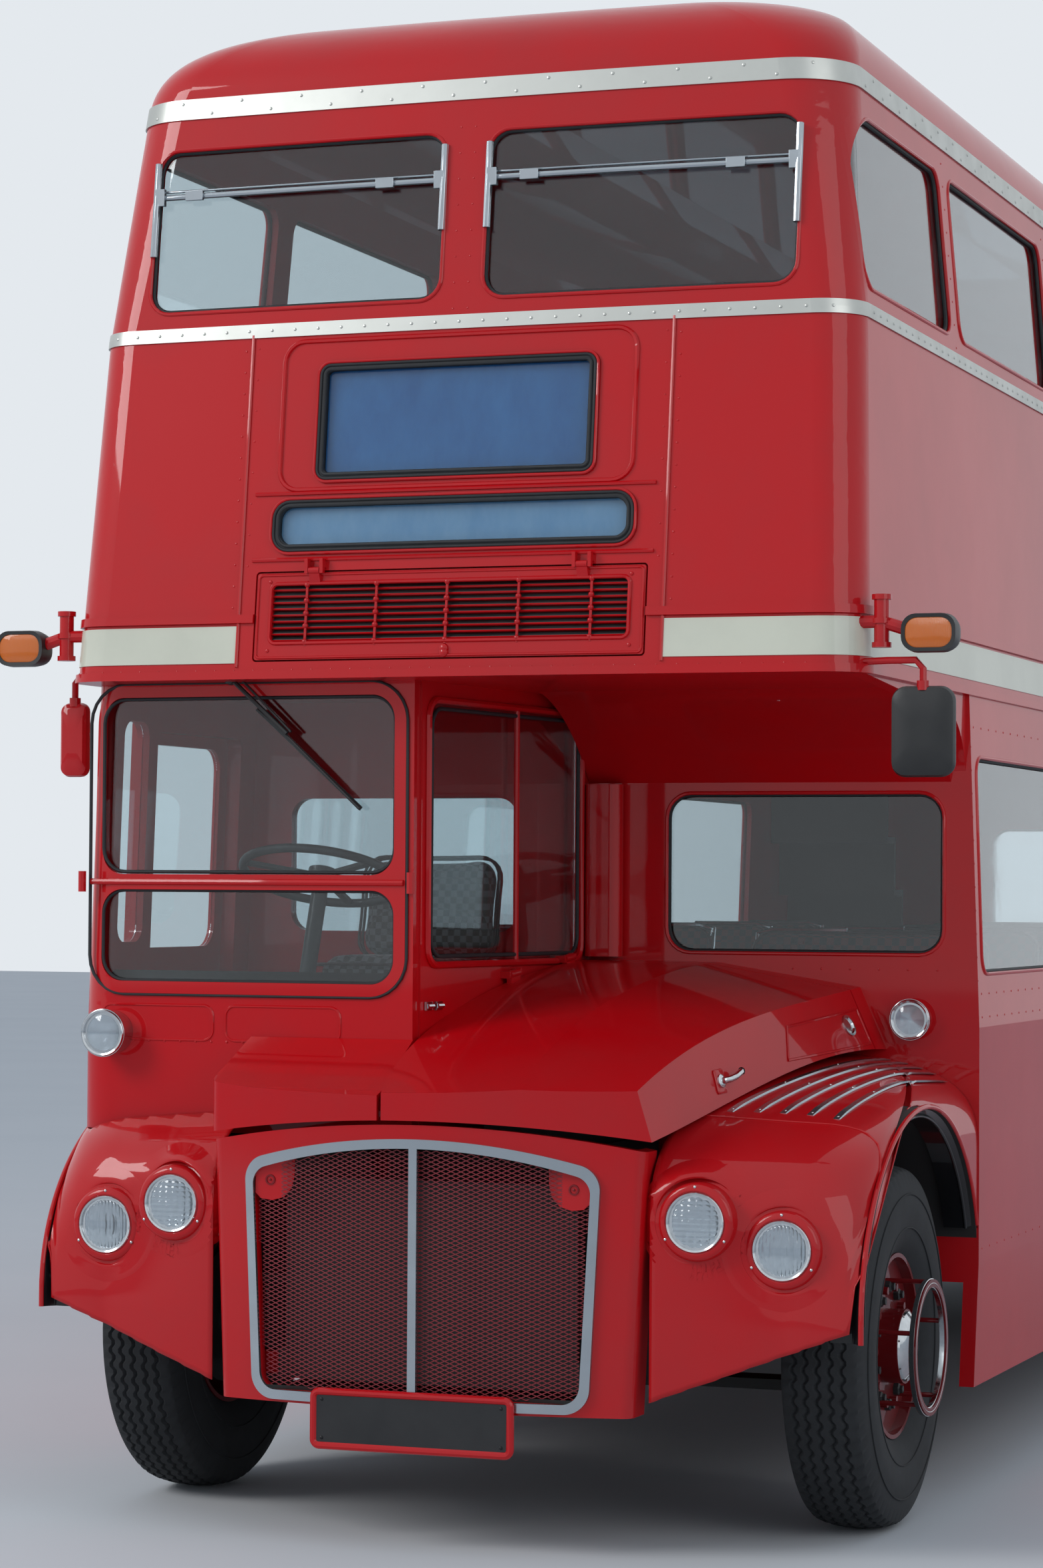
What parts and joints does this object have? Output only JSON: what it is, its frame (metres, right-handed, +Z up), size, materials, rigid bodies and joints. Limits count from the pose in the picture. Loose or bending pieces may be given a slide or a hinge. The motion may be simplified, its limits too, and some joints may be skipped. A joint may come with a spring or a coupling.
{
  "type": "double decker bus",
  "caption": "Half cab double decker bus with rear platform doors, twin headlamps, hinged bonnet side and a folding vent flap over the cab.",
  "frame": {"origin": "on the ground at the middle of the bus's length and width", "axes": "+X to the nearside (the doors' side), +Y to the rear, +Z up"},
  "size_m": [2.88, 8.39, 4.387],
  "materials": {
    "red_paint": "gloss",
    "cream_paint": "gloss",
    "mesh_paint": "satin",
    "polished_band": "satin",
    "bright_metal": "polished",
    "lamp_metal": "polished",
    "wheel_metal": "gloss",
    "chassis_iron": "matte",
    "tyre": "matte",
    "rubber": "matte",
    "black_plastic": "matte",
    "plate": "gloss",
    "amber": "gloss",
    "lamp_red": "gloss",
    "floor": "matte",
    "seat_cloth": "matte",
    "glass": "clear"
  },
  "bodies": {
    "body": {"upper_front_panel": "red_paint", "upper_side_offside": "red_paint", "upper_side_nearside": "red_paint", "upper_rear_panel": "red_paint", "roof": "red_paint", "trim_bands": "polished_band", "cream_bands": "cream_paint", "lower_side_offside": "red_paint", "lower_side_nearside": "red_paint", "lower_rear_wall": "red_paint", "cab_front": "red_paint", "windscreen_frame": "red_paint", "bulkhead": "red_paint", "cab_inner_wall": "red_paint", "canopy": "red_paint", "upper_floor": "floor", "lower_floor": "floor", "cab_floor": "floor", "driver_seat": "seat_cloth", "radiator_cowl": "red_paint", "grille_surround": "bright_metal", "grille_mesh": "mesh_paint", "bonnet_fixed_panels": "red_paint", "wing_nearside": "red_paint", "wing_offside": "red_paint", "arch_liners": "black_plastic", "front_lamps": "lamp_metal", "number_plates": "plate", "saloon_glazing": "glass", "cab_glazing": "glass", "blind_boxes": "rubber", "door_posts": "bright_metal", "staircase": "floor", "saloon_seats": "seat_cloth", "mirrors": "black_plastic", "indicator_ears": "amber", "rear_lamps": "lamp_red", "front_subframe": "chassis_iron", "front_axle_arms": "chassis_iron", "engine_and_radiator": "chassis_iron", "rear_axle": "chassis_iron"},
    "steering_wheel": {"steering_wheel": "black_plastic"},
    "knuckle_offside": {"knuckle_offside": "chassis_iron"},
    "knuckle_nearside": {"knuckle_nearside": "chassis_iron"},
    "front_wheel_offside": {"front_wheel_offside": "wheel_metal", "front_tyre_offside": "tyre"},
    "front_wheel_nearside": {"front_wheel_nearside": "wheel_metal", "front_tyre_nearside": "tyre"},
    "rear_wheel_offside": {"rear_wheels_offside": "wheel_metal", "rear_tyres_offside": "tyre"},
    "rear_wheel_nearside": {"rear_wheels_nearside": "wheel_metal", "rear_tyres_nearside": "tyre"},
    "bonnet_lid": {"bonnet": "red_paint"},
    "vent_flap": {"vent_flap": "red_paint"},
    "cab_door": {"cab_door": "red_paint", "cab_door_glass": "glass"},
    "door_leaf_1": {"door_leaf_1": "red_paint"},
    "door_leaf_2": {"door_leaf_2": "red_paint"},
    "door_leaf_3": {"door_leaf_3": "red_paint"},
    "door_leaf_4": {"door_leaf_4": "red_paint"}
  },
  "joints": [
    {"name": "steer_nearside", "type": "hinge", "parent": "body", "child": "knuckle_nearside", "pos_m": [0.915, -3.2775, 0.515], "axis": [0, 0, 1], "range_deg": [-35, 35]},
    {"name": "steer_offside", "type": "hinge", "parent": "body", "child": "knuckle_offside", "pos_m": [-0.915, -3.2775, 0.515], "axis": [0, 0, 1], "range_deg": [-35, 35]},
    {"name": "steering_wheel_turn", "type": "hinge", "parent": "body", "child": "steering_wheel", "pos_m": [-0.575, -3.4775, 1.84], "axis": [0, 0.342, 0.9397], "range_deg": [-560, 560]},
    {"name": "front_wheel_nearside_spin", "type": "hinge", "parent": "knuckle_nearside", "child": "front_wheel_nearside", "pos_m": [1.03, -3.2775, 0.515], "axis": [1, 0, 0], "continuous": true},
    {"name": "front_wheel_offside_spin", "type": "hinge", "parent": "knuckle_offside", "child": "front_wheel_offside", "pos_m": [-1.03, -3.2775, 0.515], "axis": [1, 0, 0], "continuous": true},
    {"name": "rear_wheel_nearside_spin", "type": "hinge", "parent": "body", "child": "rear_wheel_nearside", "pos_m": [1.06, 1.8535, 0.515], "axis": [1, 0, 0], "continuous": true},
    {"name": "rear_wheel_offside_spin", "type": "hinge", "parent": "body", "child": "rear_wheel_offside", "pos_m": [-1.06, 1.8535, 0.515], "axis": [1, 0, 0], "continuous": true},
    {"name": "bonnet_lift", "type": "hinge", "parent": "body", "child": "bonnet_lid", "pos_m": [-0.06077, -3.2975, 1.55], "axis": [-0.1068, -0.9883, -0.1087], "range_deg": [0, 48]},
    {"name": "vent_flap_lift", "type": "hinge", "parent": "body", "child": "vent_flap", "pos_m": [0, -3.96268, 2.701], "axis": [-1, 0, 0], "range_deg": [0, 75]},
    {"name": "cab_door_slide", "type": "slide", "parent": "body", "child": "cab_door", "axis": [0, 1, 0], "range_m": [0, 0.64]},
    {"name": "platform_doors", "type": "hinge", "parent": "body", "child": "door_leaf_1", "pos_m": [1.142, 3.0105, 1.3], "axis": [0, 0, 1], "range_deg": [0, 85]},
    {"name": "leaf_2_fold", "type": "hinge", "parent": "door_leaf_1", "child": "door_leaf_2", "pos_m": [1.192, 3.2335, 1.3], "axis": [0, 0, 1], "range_deg": [-170, 0]},
    {"name": "leaf_4_swing", "type": "hinge", "parent": "body", "child": "door_leaf_4", "pos_m": [1.142, 3.9465, 1.3], "axis": [0, 0, 1], "range_deg": [-85, 0]},
    {"name": "leaf_3_fold", "type": "hinge", "parent": "door_leaf_4", "child": "door_leaf_3", "pos_m": [1.192, 3.7235, 1.3], "axis": [0, 0, 1], "range_deg": [0, 170]}
  ],
  "couplings": [
    {"joint": "steer_offside", "follows": "steer_nearside", "ratio": 1},
    {"joint": "steering_wheel_turn", "follows": "steer_nearside", "ratio": 16},
    {"joint": "leaf_2_fold", "follows": "platform_doors", "ratio": -2},
    {"joint": "leaf_4_swing", "follows": "platform_doors", "ratio": -1},
    {"joint": "leaf_3_fold", "follows": "platform_doors", "ratio": 2}
  ]
}
